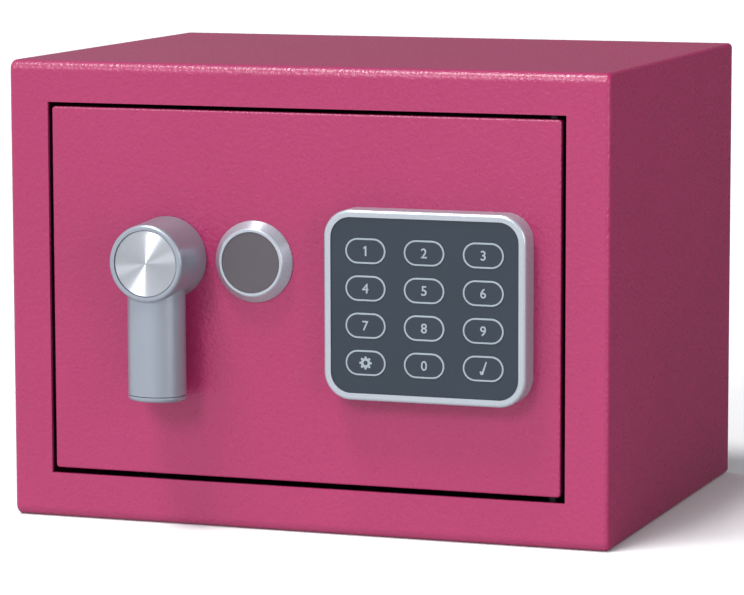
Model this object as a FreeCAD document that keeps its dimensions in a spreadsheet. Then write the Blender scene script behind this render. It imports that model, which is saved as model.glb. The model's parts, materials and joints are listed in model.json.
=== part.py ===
import FreeCAD, Part
import math
import os
import Sketcher
from FreeCAD import Placement, Rotation, Vector

# A compact electronic safe: folded steel case, front door on hidden pivots, turning handle
# with two locking bolts, keypad, and an override lock behind a round cap.
#
# Frame: +X to the right of the front face, +Y towards the back, +Z up. The origin is the
# centre of the case's underside. Depths ("deep") are measured from the case's front face
# towards the back, and heights in front of that face are "proud". Millimetres.

doc = FreeCAD.newDocument("Safe")

DIMENSIONS = [
    # case
    ("case_w", 228, "outside width"),
    ("case_h", 168.5, "outside height"),
    ("case_d", 170, "outside depth, front face to back"),
    ("wall", 1.5, "case sheet"),
    ("bend_r", 3.6, "outside radius of the folds above and below the front"),
    ("seam_r", 1.8, "outside radius of the edges round both sides"),
    ("frame_left", 15.2, "front frame beside the opening"),
    ("frame_right", 15.8, "front frame beside the opening"),
    ("frame_top", 15, "front frame above the opening"),
    ("frame_base", 16.6, "front frame below the opening"),
    ("anchor_r", 4.25, "anchor holes"),
    ("anchor_pitch", 110, "between the anchor holes of a pair"),
    ("anchor_y", 10, "base anchor holes, behind the case's middle"),
    ("anchor_z", 84, "back anchor holes, above the base"),
    ("mat_thick", 2, "floor mat"),
    ("mat_gap", 2.6, "floor mat to the walls"),
    ("mat_hole_r", 6, "floor mat over the anchor holes"),
    # door
    ("gap_left", 1.5, "door to frame"),
    ("gap_right", 1.9, "door to frame, hinge side"),
    ("gap_top", 1.6, "door to frame"),
    ("gap_base", 2, "door to frame"),
    ("door_in", 0.3, "door face behind the frame's face"),
    ("door_thick", 3, "door plate"),
    ("door_corner_r", 1.2, "door plate corners"),
    ("door_edge_r", 0.7, "door plate front edge"),
    # hinge
    ("hinge_in", 3.8, "hinge axis from the door's right edge"),
    ("hinge_deep", 5.5, "hinge axis behind the front face"),
    ("hinge_pin_r", 2, "hinge pins"),
    ("running_gap", 0.06, "radial clearance of what turns or slides in a bore"),
    ("bush_r", 3.3, "outside of the hinge bushes"),
    ("bracket_thick", 2.5, "hinge bracket shelf"),
    ("bracket_gap", 1.6, "bracket shelf beyond the opening"),
    ("bracket_half", 9, "half the width of a hinge bracket"),
    ("bracket_reach", 18, "bracket shelf, front to back"),
    ("bracket_leg", 2, "bracket leg sheet"),
    ("bracket_leg_h", 9, "bracket leg height"),
    ("tab_half", 3.4, "half the width of a hinge tab"),
    ("tab_back", 9.5, "depth of a hinge tab's rear face"),
    ("tab_h", 13, "height of a hinge tab"),
    ("tab_in", 1, "hinge tab from the door's edge"),
    ("tab_edge_r", 1.2, "rounding of a hinge tab's rear edges"),
    ("pin_grip", 11, "pin length inside its tab"),
    ("pin_reach", 5.4, "pin length beyond the door's edge"),
    # strike plate behind the frame's left side
    ("strike_thick", 1.5, "strike plate sheet"),
    ("strike_side_gap", 1, "strike plate to the case's side"),
    ("strike_deep", 30, "depth of the strike plate's rear edge"),
    ("strike_end", 5, "strike plate ends inside the opening's height"),
    ("strike_hole_r", 7.8, "holes that take the locking bolts"),
    # door chassis and its rear cover
    ("chassis_left", -91.2, "chassis outside"),
    ("chassis_right", 88.8, "chassis outside"),
    ("chassis_base", 23.7, "chassis outside"),
    ("chassis_top", 147.7, "chassis outside"),
    ("chassis_back", 43, "depth of the chassis's rear face"),
    ("chassis_wall", 1.2, "chassis sheet"),
    ("chassis_lip", 8, "rear lip turned inwards"),
    ("cover_thick", 1.5, "rear cover"),
    ("cover_corner_r", 2, "rear cover corners"),
    ("screw_in", 4, "cover screws from the chassis's edges"),
    ("screw_r", 1.4, "small screw shank"),
    ("screw_hole_r", 1.7, "clearance hole for a small screw"),
    ("screw_head_r", 2.8, "small screw head"),
    ("screw_head_h", 1.5, "small screw head"),
    ("screw_grip", 3, "cover screw beyond the lip's rear face"),
    # bolts and their carriage
    ("bolt_r", 7, "locking bolts"),
    ("bolt_deep", 17, "depth of the bolt axes"),
    ("bolt_pitch_half", 37, "bolt axes above and below the door's middle"),
    ("bolt_tip", -94.7, "tip of a withdrawn bolt"),
    ("bolt_end", -49.2, "inner end of a withdrawn bolt"),
    ("bolt_tip_bevel", 1.5, "bevel on a bolt's tip"),
    ("bolt_screw_x", -58.2, "screw that holds a bolt to the carriage"),
    ("bolt_screw_r", 2, "that screw's shank"),
    ("bolt_screw_grip", 8, "that screw's length inside the bolt"),
    ("bolt_screw_head_r", 3.6, "that screw's head"),
    ("bolt_screw_head_h", 2.2, "that screw's head"),
    ("throw", 14, "travel of the bolts"),
    ("carriage_front", 22, "depth of the carriage's front face"),
    ("carriage_thick", 2, "carriage sheet"),
    ("carriage_left", -69.2, "carriage outline, bolts withdrawn"),
    ("carriage_waist", -29.2, "carriage outline beside the override lock"),
    ("carriage_right", -15.2, "carriage outline, ends of the arms"),
    ("carriage_base", 39.7, "carriage outline"),
    ("carriage_top", 130.7, "carriage outline"),
    ("arm_base_top", 85.7, "top of the lower arm"),
    ("arm_top_base", 113.7, "underside of the upper arm"),
    ("tongue_end", 4.8, "end of the tongue over the solenoid"),
    ("tongue_base", 73.7, "underside of the tongue"),
    ("tongue_top", 83.7, "top of the tongue"),
    ("stud_x", -37.2, "guide studs"),
    ("stud_r", 2.5, "guide stud shoulder"),
    ("stud_collar_r", 4, "guide stud collar under the carriage"),
    ("stud_head_r", 4.5, "guide stud head"),
    ("stud_head_h", 2, "guide stud head"),
    ("slide_gap", 0.3, "carriage to studs, at the sides"),
    ("face_gap", 0.4, "carriage to collar and head"),
    # handle
    ("handle_x", -51.8, "handle axis"),
    ("handle_z", 98.3, "handle axis"),
    ("hub_r", 15, "hub at the door"),
    ("hub_front_r", 14, "hub at its front"),
    ("hub_proud", 21.5, "hub in front of the case's face"),
    ("hub_gap", 0.2, "hub's rear edge in front of the case's face"),
    ("hub_edge_r", 1.1, "rounding of the hub's front edge"),
    ("face_r", 11.75, "disc in the hub's front"),
    ("face_seat_r", 12.1, "seat of that disc"),
    ("face_seat", 1.2, "depth of that seat"),
    ("face_thick", 0.8, "that disc"),
    ("bar_half_w", 10.7, "handle bar, half width"),
    ("bar_half_d", 8.9, "handle bar, half depth"),
    ("bar_proud", 11.3, "middle of the bar in front of the case's face"),
    ("bar_root", 8.5, "top of the bar below the handle axis, inside the hub"),
    ("bar_base", 47.9, "lower end of the handle, above the base"),
    ("cap_thick", 1.8, "end cap of the bar"),
    ("cap_seam", 0.25, "seam above the end cap"),
    ("cap_edge_r", 1.2, "rounding of the end cap"),
    ("cap_plug", 4, "plug of the end cap inside the bar"),
    ("cap_wall", 2.5, "bar wall round that plug"),
    ("spindle_r", 5, "handle spindle"),
    ("spindle_in", 12, "spindle inside the hub, in front of the case's face"),
    ("spindle_end_r", 4, "threaded end of the spindle"),
    ("spindle_step", 14, "depth of the spindle's shoulder"),
    ("spindle_end", 21, "depth of the spindle's end"),
    ("bearing_r", 7, "sleeve of the spindle bearing"),
    ("bearing_flange_r", 10, "flange of the spindle bearing"),
    ("bearing_flange", 2, "that flange's thickness"),
    ("bearing_end", 13.6, "depth of the bearing's rear end"),
    ("cam_thick", 3, "handle cam"),
    ("cam_boss_r", 8.5, "handle cam boss"),
    ("cam_arm_r", 4.6, "handle cam arm end"),
    ("cam_reach", 9.9, "drive pin from the handle axis"),
    ("cam_pin_r", 2.5, "drive pin"),
    ("cam_pin_end", 26.5, "depth of the drive pin's end"),
    ("pin_slot_gap", 0.45, "drive pin to its slot"),
    ("nut_r", 6.9, "spindle nut over its corners"),
    ("nut_thick", 3.5, "spindle nut"),
    # solenoid
    ("sol_x", -5.2, "plunger axis"),
    ("sol_deep", 23, "depth of the plunger axis"),
    ("sol_half", 9, "half the width of the solenoid frame"),
    ("sol_base", 35.7, "solenoid frame"),
    ("sol_top", 61.7, "solenoid frame"),
    ("sol_back", 31, "depth of the frame's rear face"),
    ("sol_front", 15, "depth of the upper leg's front edge"),
    ("sol_sheet", 1.5, "solenoid frame sheet"),
    ("coil_r", 6.4, "solenoid coil"),
    ("coil_bore_r", 3.8, "solenoid coil bore"),
    ("plunger_r", 3.4, "solenoid plunger"),
    ("plunger_base", 49.7, "plunger, lower end"),
    ("plunger_top", 73.3, "plunger, upper end"),
    ("clip_r", 5, "clip ring on the plunger"),
    ("clip_base", 71.2, "underside of the clip ring"),
    ("clip_thick", 1, "clip ring"),
    ("spring_r", 4.3, "plunger spring, to the middle of its wire"),
    ("wire_r", 0.4, "spring wire"),
    ("spring_turns", 4, "turns of each spring"),
    ("spring_gap", 0.05, "spring to what it rests on"),
    # override lock and its cap
    ("lock_x", -18.4, "override lock axis"),
    ("lock_z", 98, "override lock axis"),
    ("barrel_r", 9, "lock barrel"),
    ("barrel_end", 20, "depth of the barrel's rear end"),
    ("barrel_head_r", 11, "lock head"),
    ("barrel_head", 1.9, "lock head in front of the case's face"),
    ("barrel_hole_r", 9.2, "hole in the door for the barrel"),
    ("lock_nut_r", 13.6, "lock nut over its corners"),
    ("lock_nut_thick", 4, "lock nut"),
    ("plug_r", 6, "turning plug"),
    ("plug_spacer_r", 5, "plug behind the barrel"),
    ("plug_tail_r", 3, "plug tail"),
    ("plug_tail_end", 27.2, "depth of the tail's end"),
    ("keyway_out_r", 4.4, "round keyway, outside"),
    ("keyway_in_r", 3.2, "round keyway, inside"),
    ("keyway_deep", 3, "round keyway"),
    ("lock_cam_front", 24.6, "depth of the override cam's front face"),
    ("lock_cam_thick", 2, "override cam"),
    ("lock_cam_r", 4.5, "override cam, rounding of its ends"),
    ("lock_cam_reach", 22.5, "override cam, axis to the middle of its nose"),
    ("cap_r", 14.75, "round cap at the door"),
    ("cap_rim_r", 12.3, "round cap, outside of its front rim"),
    ("cap_seat_r", 11.1, "round cap, inside of its front rim"),
    ("cap_proud", 3.9, "round cap in front of the case's face"),
    ("cap_foot", 0.6, "straight foot of the round cap"),
    ("cap_seat", 0.9, "depth of the badge seat"),
    ("cap_web", 0.7, "web behind the badge"),
    ("cap_cavity_r", 11.9, "cavity of the round cap over the lock head"),
    ("badge_r", 10.95, "badge disc"),
    ("badge_thick", 0.6, "badge disc"),
    # keypad
    ("pad_left", 11.4, "keypad housing"),
    ("pad_w", 75, "keypad housing"),
    ("pad_base", 51, "keypad housing"),
    ("pad_h", 68, "keypad housing"),
    ("pad_proud", 9, "keypad housing in front of the case's face"),
    ("pad_corner_r", 10, "keypad housing corners"),
    ("pad_edge_r", 1.1, "keypad housing front edge"),
    ("pad_rim", 2.6, "keypad housing rim"),
    ("pad_floor", 3.4, "cavity floor in front of the case's face"),
    ("plate_gap", 0.1, "faceplate to rim"),
    ("plate_front", 8.5, "faceplate front in front of the case's face"),
    ("plate_thick", 1.9, "faceplate"),
    ("key_x", 27.1, "first key column"),
    ("key_z", 104.5, "first key row"),
    ("key_pitch_x", 21.85, "key columns"),
    ("key_pitch_z", 13.3, "key rows"),
    ("key_r", 4.55, "half the height of a key"),
    ("key_half_run", 3, "key, middle to the centre of an end"),
    ("key_gap", 0.12, "key to faceplate"),
    ("key_front", 8.75, "key front in front of the case's face"),
    ("key_thick", 2.35, "key"),
    ("key_edge_r", 0.3, "key front edge"),
    ("board_mat", 0.7, "rubber mat under the keys"),
    ("pad_board_left", 17.9, "keypad board"),
    ("pad_board_w", 62, "keypad board"),
    ("pad_board_base", 58.7, "keypad board"),
    ("pad_board_h", 52.4, "keypad board"),
    ("post_r", 2.2, "screw posts in the keypad housing"),
    ("post_proud", 6.4, "screw posts in front of the case's face"),
    ("post_x_left", 30.8, "screw posts"),
    ("post_x_right", 66.8, "screw posts"),
    ("post_z_base", 56.1, "screw posts"),
    ("post_z_top", 113.7, "screw posts"),
    ("post_screw", 3, "keypad screws in front of the case's face"),
    # cable between the keypad and the control board
    ("cable_r", 1.5, "keypad cable"),
    ("cable_gap", 0.5, "cable to the housing's hole"),
    ("cable_hole_r", 4, "door hole for the cable"),
    ("cable_x", 48.9, "cable route"),
    ("cable_z_top", 79.7, "cable route, keypad end"),
    ("cable_z_base", 57.7, "cable route, board end"),
    ("cable_deep", 18.5, "cable route, depth behind the door"),
    # control board
    ("board_left", 14.8, "control board"),
    ("board_w", 66, "control board"),
    ("board_base", 27.7, "control board"),
    ("board_h", 36, "control board"),
    ("board_deep", 8, "depth of the control board's front face"),
    ("board_thick", 1.6, "both boards"),
    ("standoff_r", 3, "board standoffs"),
    ("standoff_in", 4, "standoffs from the board's edges"),
    ("buzzer_x", 66.8, "buzzer"),
    ("buzzer_z", 45.7, "buzzer"),
    ("buzzer_r", 6, "buzzer"),
    ("buzzer_h", 7, "buzzer"),
    # reset button
    ("reset_x", 30.8, "reset button"),
    ("reset_z", 45.7, "reset button"),
    ("reset_r", 4, "reset button"),
    ("reset_flange_r", 5.6, "its flange behind the cover"),
    ("reset_flange_front", 41, "depth of its flange's front face"),
    ("reset_flange", 1.6, "its flange"),
    ("reset_stem_r", 2, "its stem"),
    ("reset_stem_front", 15.8, "depth of its stem's end"),
    ("reset_end", 46, "depth of its rear end"),
    ("switch_h", 4.4, "switch under the stem"),
    # batteries
    ("cell_r", 7.1, "battery"),
    ("cell_len", 49.5, "battery without its nub"),
    ("nub_r", 2.75, "battery nub"),
    ("nub_len", 1, "battery nub"),
    ("cell_pitch", 15, "between the batteries"),
    ("cell_z", 79.2, "lowest battery"),
    ("cell_deep", 32, "depth of the battery axes"),
    ("tray_left", 15.3, "battery tray, inside"),
    ("tray_right", 74.3, "battery tray, inside"),
    ("tray_base", 70.7, "battery tray, inside"),
    ("tray_top", 132.7, "battery tray, inside"),
    ("tray_front", 22, "depth of the tray's front face"),
    ("tray_wall", 1.5, "battery tray"),
    ("tray_flange", 3.5, "battery tray flange"),
    ("contact_thick", 0.5, "contact plates"),
    ("contact_half", 5, "half the size of a contact plate"),
    ("contact_spring_r", 3.2, "contact spring, to the middle of its wire"),
    ("lid_in", 2.5, "battery lid beyond the tray's inside"),
    ("lid_gap", 0.3, "battery lid to cover"),
    ("lid_grip_w", 16, "finger recess in the lid"),
    ("lid_grip_h", 5, "finger recess in the lid"),
    ("lid_grip_deep", 0.8, "finger recess in the lid"),
    ("lid_grip_in", 4, "finger recess from the lid's upper edge"),
]

sheet = doc.addObject("Spreadsheet::Sheet", "Dims")
for line, (alias, number, note) in enumerate(DIMENSIONS, start=1):
    sheet.set(f"A{line}", note)
    sheet.set(f"B{line}", str(number))
    sheet.setAlias(f"B{line}", alias)
doc.recompute()


class Size:
    """A length with its number and the spreadsheet expression that gives it."""

    def __init__(self, value, text):
        self.value = float(value)
        self.text = text

    @staticmethod
    def of(other):
        return other if isinstance(other, Size) else Size(other, repr(float(other)))

    def __add__(self, other):
        other = Size.of(other)
        return Size(self.value + other.value, f"({self.text} + {other.text})")

    def __sub__(self, other):
        other = Size.of(other)
        return Size(self.value - other.value, f"({self.text} - {other.text})")

    def __rsub__(self, other):
        return Size.of(other) - self

    def __mul__(self, other):
        other = Size.of(other)
        return Size(self.value * other.value, f"({self.text} * {other.text})")

    def __truediv__(self, other):
        other = Size.of(other)
        return Size(self.value / other.value, f"({self.text} / {other.text})")

    def __neg__(self):
        return Size(-self.value, f"(0 - {self.text})")

    __radd__ = __add__
    __rmul__ = __mul__


class Cells:
    """Reads the sheet: D.case_w is the Size of the cell case_w."""

    def __init__(self, rows):
        self.numbers = {alias: number for alias, number, note in rows}

    def __getattr__(self, alias):
        return Size(self.numbers[alias], f"Dims.{alias}")


D = Cells(DIMENSIONS)

# ---------------------------------------------------------------- building tools

ALONG = {
    "X": Rotation(Vector(0, 1, 0), 90),
    "Y": Rotation(Vector(1, 0, 0), -90),
    "Z": Rotation(),
}
PLANES = {"X": "YZ_Plane", "Y": "XZ_Plane", "Z": "XY_Plane"}
ORIGIN_POINT = (-1, 1)


def bind(obj, name, size):
    """Sets a property from a Size and keeps it bound to the sheet."""
    size = Size.of(size)
    obj.setExpression(name, size.text)


def deep(depth):
    """The Y of a depth behind the case's front face."""
    return depth - D.case_d / 2


def proud(height):
    """The Y of a height in front of the case's front face."""
    return -D.case_d / 2 - height


def place(obj, x, y, z, rotation=None):
    base = Vector(*(Size.of(size).value for size in (x, y, z)))
    obj.Placement = Placement(base, rotation or Rotation())
    for axis, size in zip("xyz", (x, y, z)):
        bind(obj, f"Placement.Base.{axis}", size)


def box(name, xs, ys, zs):
    """A block between two planes across each axis."""
    obj = doc.addObject("Part::Box", name)
    for prop, span in (("Length", xs), ("Width", ys), ("Height", zs)):
        bind(obj, prop, Size.of(span[1]) - span[0])
    place(obj, xs[0], ys[0], zs[0])
    return obj


def rod(name, axis, radius, span, across):
    """A cylinder along an axis; across holds its other two coordinates, in X, Y, Z order."""
    obj = doc.addObject("Part::Cylinder", name)
    bind(obj, "Radius", radius)
    bind(obj, "Height", Size.of(span[1]) - span[0])
    at = list(across)
    at.insert("XYZ".index(axis), span[0])
    place(obj, *at, ALONG[axis])
    return obj


def fuse(name, *pieces):
    obj = doc.addObject("Part::MultiFuse", name)
    obj.Shapes = list(pieces)
    return obj


def group(name, *pieces):
    """Separate solids in one node."""
    obj = doc.addObject("Part::Compound", name)
    obj.Links = list(pieces)
    return obj


def cut(name, base, *tools):
    obj = doc.addObject("Part::Cut", name)
    obj.Base = base
    obj.Tool = tools[0] if len(tools) == 1 else fuse(f"{name}_tools", *tools)
    return obj


def rounded(name, base, *choices):
    """Rounds edges: each choice is (radius, test of an edge)."""
    doc.recompute()
    edges = []
    for number, edge in enumerate(base.Shape.Edges, start=1):
        for radius, chosen in choices:
            if chosen(edge):
                edges.append((number, radius.value, radius.value))
                break
    obj = doc.addObject("Part::Fillet", name)
    obj.Base = base
    obj.Edges = edges
    return obj


def edge_runs(edge, axis):
    """True for a straight edge along that axis."""
    sizes = (edge.BoundBox.XLength, edge.BoundBox.YLength, edge.BoundBox.ZLength)
    others = [size for letter, size in zip("XYZ", sizes) if letter != axis]
    return max(others) < 1e-6


def edge_at(edge, axis, size):
    """True for an edge that lies in the plane across that axis."""
    low = getattr(edge.BoundBox, f"{axis}Min")
    high = getattr(edge.BoundBox, f"{axis}Max")
    return abs(low - size.value) < 1e-4 and abs(high - size.value) < 1e-4


# ---------------------------------------------------------------- sketched bodies

def origin_plane(body, axis):
    return next(f for f in body.Origin.OriginFeatures if f.Role == PLANES[axis])


def sketch_on(body, name, axis, at=0):
    """A sketch across an axis. XZ_Plane looks along -Y, so its offset is turned round."""
    sketch = body.newObject("Sketcher::SketchObject", name)
    sketch.AttachmentSupport = [(origin_plane(body, axis), "")]
    sketch.MapMode = "FlatFace"
    offset = -Size.of(at) if axis == "Y" else Size.of(at)
    sketch.AttachmentOffset = Placement(Vector(0, 0, offset.value), Rotation())
    bind(sketch, "AttachmentOffset.Base.z", offset)
    return sketch


def constrain(sketch, kind, *refs, size):
    size = Size.of(size)
    index = sketch.addConstraint(Sketcher.Constraint(kind, *refs, size.value))
    sketch.setExpression(f"Constraints[{index}]", size.text)


def lock(sketch, geometry, end, point):
    """Fixes a point of the sketch at two sizes from its origin."""
    constrain(sketch, "DistanceX", *ORIGIN_POINT, geometry, end, size=point[0])
    constrain(sketch, "DistanceY", *ORIGIN_POINT, geometry, end, size=point[1])


def flat(point):
    return Vector(Size.of(point[0]).value, Size.of(point[1]).value, 0)


def polygon(sketch, points):
    """A closed outline whose corners are all bound to the sheet."""
    first = sketch.GeometryCount
    count = len(points)
    for i in range(count):
        ends = (flat(points[i]), flat(points[(i + 1) % count]))
        sketch.addGeometry(Part.LineSegment(*ends))
    for i in range(count):
        following = first + (i + 1) % count
        sketch.addConstraint(Sketcher.Constraint("Coincident", first + i, 2, following, 1))
        lock(sketch, first + i, 1, points[i])


def rectangle(sketch, xs, zs):
    polygon(sketch, [(xs[0], zs[0]), (xs[1], zs[0]), (xs[1], zs[1]), (xs[0], zs[1])])


def hexagon(sketch, x, z, corner_r):
    angles = [math.radians(60 * i) for i in range(6)]
    polygon(sketch, [(x + corner_r * math.cos(a), z + corner_r * math.sin(a)) for a in angles])


def circle(sketch, x, z, radius):
    radius = Size.of(radius)
    index = sketch.addGeometry(Part.Circle(flat((x, z)), Vector(0, 0, 1), radius.value))
    constrain(sketch, "Radius", index, size=radius)
    lock(sketch, index, 3, (x, z))


def ellipse(sketch, x, y, half_x, half_y):
    shape = Part.Ellipse(flat((x + half_x, y)), flat((x, y + half_y)), flat((x, y)))
    index = sketch.addGeometry(shape)
    sketch.exposeInternalGeometry(index)
    lock(sketch, index, 3, (x, y))
    lock(sketch, index + 1, 2, (x + half_x, y))
    constrain(sketch, "DistanceY", *ORIGIN_POINT, index + 2, 2, size=y + half_y)


def slot(sketch, start, end, radius):
    """A round-ended slot between two centres."""
    a, b = flat(start), flat(end)
    r = Size.of(radius).value
    turn = math.atan2(b.y - a.y, b.x - a.x)
    side = Vector(-math.sin(turn), math.cos(turn), 0) * r
    quarter = math.pi / 2
    first = sketch.GeometryCount
    for centre, low in ((a, turn + quarter), (b, turn - quarter)):
        round_end = Part.Circle(centre, Vector(0, 0, 1), r)
        sketch.addGeometry(Part.ArcOfCircle(round_end, low, low + math.pi))
    sketch.addGeometry(Part.LineSegment(a - side, b - side))
    sketch.addGeometry(Part.LineSegment(b + side, a + side))
    joints = ((0, 2, 2, 1), (2, 2, 1, 1), (1, 2, 3, 1), (3, 2, 0, 1))
    for one, one_end, two, two_end in joints:
        refs = (first + one, one_end, first + two, two_end)
        sketch.addConstraint(Sketcher.Constraint("Tangent", *refs))
    lock(sketch, first, 3, start)
    lock(sketch, first + 1, 3, end)
    constrain(sketch, "Radius", first, size=radius)


def sketched(name):
    return doc.addObject("PartDesign::Body", name)


def pad(body, sketch, length):
    feature = body.newObject("PartDesign::Pad", f"{sketch.Name}_pad")
    feature.Profile = sketch
    bind(feature, "Length", length)
    doc.recompute()
    return feature


def pocket(body, sketch, length, backwards=False):
    """Cuts along the sketch's -normal, or along its normal when backwards."""
    before = body.Shape.Volume
    feature = body.newObject("PartDesign::Pocket", f"{sketch.Name}_pocket")
    feature.Profile = sketch
    feature.Reversed = backwards
    bind(feature, "Length", length)
    doc.recompute()
    if body.Shape.Volume >= before - 1e-6:
        raise RuntimeError(f"{feature.Name} cuts nothing")
    return feature


def round_edges(body, name, radius, chosen):
    feature = body.newObject("PartDesign::Fillet", name)
    tip = body.Group[-2]
    names = [f"Edge{i}" for i, e in enumerate(tip.Shape.Edges, start=1) if chosen(e)]
    feature.Base = (tip, names)
    bind(feature, "Radius", radius)
    doc.recompute()
    return feature


def plate(name, axis, front, back, draw):
    """A flat plate across an axis, from its lower plane to its upper plane."""
    body = sketched(name)
    # A pad runs along the sketch's normal, which is -Y on XZ_Plane.
    sketch = sketch_on(body, f"{name}_outline", axis, back if axis == "Y" else front)
    draw(sketch)
    pad(body, sketch, Size.of(back) - front)
    return body


def turned(name, x, z, profile):
    """A body turned about a line along Y through (x, z). The profile holds (radius, y)."""
    body = sketched(name)
    sketch = sketch_on(body, f"{name}_profile", "Z", 0)
    polygon(sketch, profile)
    feature = body.newObject("PartDesign::Revolution", f"{name}_turned")
    feature.Profile = sketch
    feature.ReferenceAxis = (sketch, ["V_Axis"])
    feature.Angle = 360
    place(body, x, 0, z)
    doc.recompute()
    return body


def turned_upright(name, x, y, profile):
    """A body turned about a vertical line through (x, y). The profile holds (radius, z)."""
    body = sketched(name)
    sketch = sketch_on(body, f"{name}_profile", "Y", 0)
    polygon(sketch, profile)
    feature = body.newObject("PartDesign::Revolution", f"{name}_turned")
    feature.Profile = sketch
    feature.ReferenceAxis = (sketch, ["V_Axis"])
    feature.Angle = 360
    place(body, x, y, 0)
    doc.recompute()
    return body


# ---------------------------------------------------------------- shared places

nodes = {}


def node(name, obj):
    """Names a finished sub-part."""
    obj.Label = name
    nodes[name] = obj
    return obj


half_w = D.case_w / 2
front = -D.case_d / 2
back = D.case_d / 2

open_left = D.frame_left - half_w
open_right = half_w - D.frame_right
open_base = D.frame_base
open_top = D.case_h - D.frame_top

door_left = open_left + D.gap_left
door_right = open_right - D.gap_right
door_base = open_base + D.gap_base
door_top = open_top - D.gap_top
door_front = deep(D.door_in)
door_back = deep(D.door_in + D.door_thick)
door_mid = (door_base + door_top) / 2

hinge_x = door_right - D.hinge_in
hinge_y = deep(D.hinge_deep)

bolt_heights = (door_mid - D.bolt_pitch_half, door_mid + D.bolt_pitch_half)
bolt_y = deep(D.bolt_deep)
carriage_back = D.carriage_front + D.carriage_thick

# The drive pin starts down and to the right of the handle axis and ends down and to the left.
pin_offset = D.cam_reach / math.sqrt(2)


# ---------------------------------------------------------------- case

def case_shell():
    outer = box("shell_outer", (-half_w, half_w), (front, back), (0, D.case_h))
    outer = rounded(
        "shell_folds", outer, (D.bend_r, lambda e: edge_runs(e, "X") and edge_at(e, "Y", front))
    )
    outer = rounded("shell_seams", outer, (D.seam_r, round_a_side))
    inside = (D.wall - half_w, half_w - D.wall)
    hollow = box("shell_hollow", inside, (deep(D.wall), back), (D.wall, D.case_h - D.wall))
    hollow = rounded(
        "shell_inside",
        hollow,
        (D.bend_r - D.wall, lambda e: edge_runs(e, "X") and edge_at(e, "Y", deep(D.wall))),
    )
    opening_xs, opening_zs = (open_left, open_right), (open_base, open_top)
    opening = box("shell_opening", opening_xs, (front, deep(D.wall)), opening_zs)
    anchors = anchor_rods("base", "Z", D.anchor_r, (0, D.wall), D.anchor_y)
    return cut("case_shell", outer, hollow, opening, *anchors)


def round_a_side(edge):
    """True for the edges round the case's sides, apart from the ones at the back."""
    at_side = edge_at(edge, "X", -half_w) or edge_at(edge, "X", half_w)
    return at_side and not edge_at(edge, "Y", back)


def anchor_rods(name, axis, radius, span, height):
    """Cutters for a pair of anchor holes; height is their Y in the base, their Z in the back."""
    return [
        rod(f"anchor_{name}_{i}", axis, radius, span, (side * D.anchor_pitch / 2, height))
        for i, side in enumerate((-1, 1))
    ]


def back_plate():
    xs = (D.wall - half_w, half_w - D.wall)
    ys = (back - D.wall, back)
    block = box("back_block", xs, ys, (D.wall, D.case_h - D.wall))
    return cut("back_plate", block, *anchor_rods("back", "Y", D.anchor_r, ys, D.anchor_z))


def floor_mat():
    edge = D.wall + D.mat_gap
    xs = (edge - half_w, half_w - edge)
    ys = (deep(edge + D.bracket_leg), back - edge)
    zs = (D.wall, D.wall + D.mat_thick)
    block = box("mat_block", xs, ys, zs)
    block = rounded("mat_rounded", block, (D.bend_r, lambda e: edge_runs(e, "Z")))
    return cut("floor_mat", block, *anchor_rods("mat", "Z", D.mat_hole_r, zs, D.anchor_y))


def strike_plate():
    """An angle behind the frame's left side, with a hole for each locking bolt."""
    low = open_base + D.strike_end
    high = open_top - D.strike_end
    leg_ys = (deep(D.wall), deep(D.wall + D.strike_thick))
    leg_xs = (D.wall + D.strike_side_gap - half_w, open_left)
    leg = box("strike_leg", leg_xs, leg_ys, (low, high))
    span = (open_left - D.strike_thick, open_left)
    jamb = box("strike_jamb", span, (deep(D.wall), deep(D.strike_deep)), (low, high))
    holes = [
        rod(f"strike_hole_{i}", "X", D.strike_hole_r, span, (bolt_y, z))
        for i, z in enumerate(bolt_heights)
    ]
    return cut("strike_plate", fuse("strike_angle", leg, jamb), *holes)


def hinge_bracket(name, shelf, leg):
    """A shelf with the bush hole, and a leg against the back of the frame."""
    xs = (hinge_x - D.bracket_half, hinge_x + D.bracket_half)
    shelf_box = box(f"{name}_shelf", xs, (deep(D.wall), deep(D.wall + D.bracket_reach)), shelf)
    leg_box = box(f"{name}_leg", xs, (deep(D.wall), deep(D.wall + D.bracket_leg)), leg)
    hole = rod(f"{name}_hole", "Z", D.bush_r, shelf, (hinge_x, hinge_y))
    return fuse(f"{name}_joined", leg_box, cut(f"{name}_bored", shelf_box, hole))


def shelf_spans():
    upper = open_top + D.bracket_gap
    lower = open_base - D.bracket_gap
    return {
        "upper": (upper, upper + D.bracket_thick),
        "lower": (lower - D.bracket_thick, lower),
    }


def hinge_brackets():
    spans = shelf_spans()
    upper, lower = spans["upper"], spans["lower"]
    # Each leg stands beyond its shelf, clear of the pin's end.
    upper_leg = (upper[1], upper[1] + D.bracket_leg_h - D.bracket_thick)
    lower_leg = (lower[0] - D.bracket_leg_h + D.bracket_thick, lower[0])
    return group(
        "hinge_brackets",
        hinge_bracket("bracket_upper", upper, upper_leg),
        hinge_bracket("bracket_lower", lower, lower_leg),
    )


def hinge_bushes():
    bushes = []
    bore_r = D.hinge_pin_r + D.running_gap
    for name, span in shelf_spans().items():
        tube = rod(f"bush_{name}", "Z", D.bush_r, span, (hinge_x, hinge_y))
        bore = rod(f"bush_{name}_bore", "Z", bore_r, span, (hinge_x, hinge_y))
        bushes.append(cut(f"bush_{name}_bored", tube, bore))
    return group("hinge_bushes", *bushes)


# ---------------------------------------------------------------- door

post_places = [
    (x, z) for x in (D.post_x_left, D.post_x_right) for z in (D.post_z_base, D.post_z_top)
]


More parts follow.
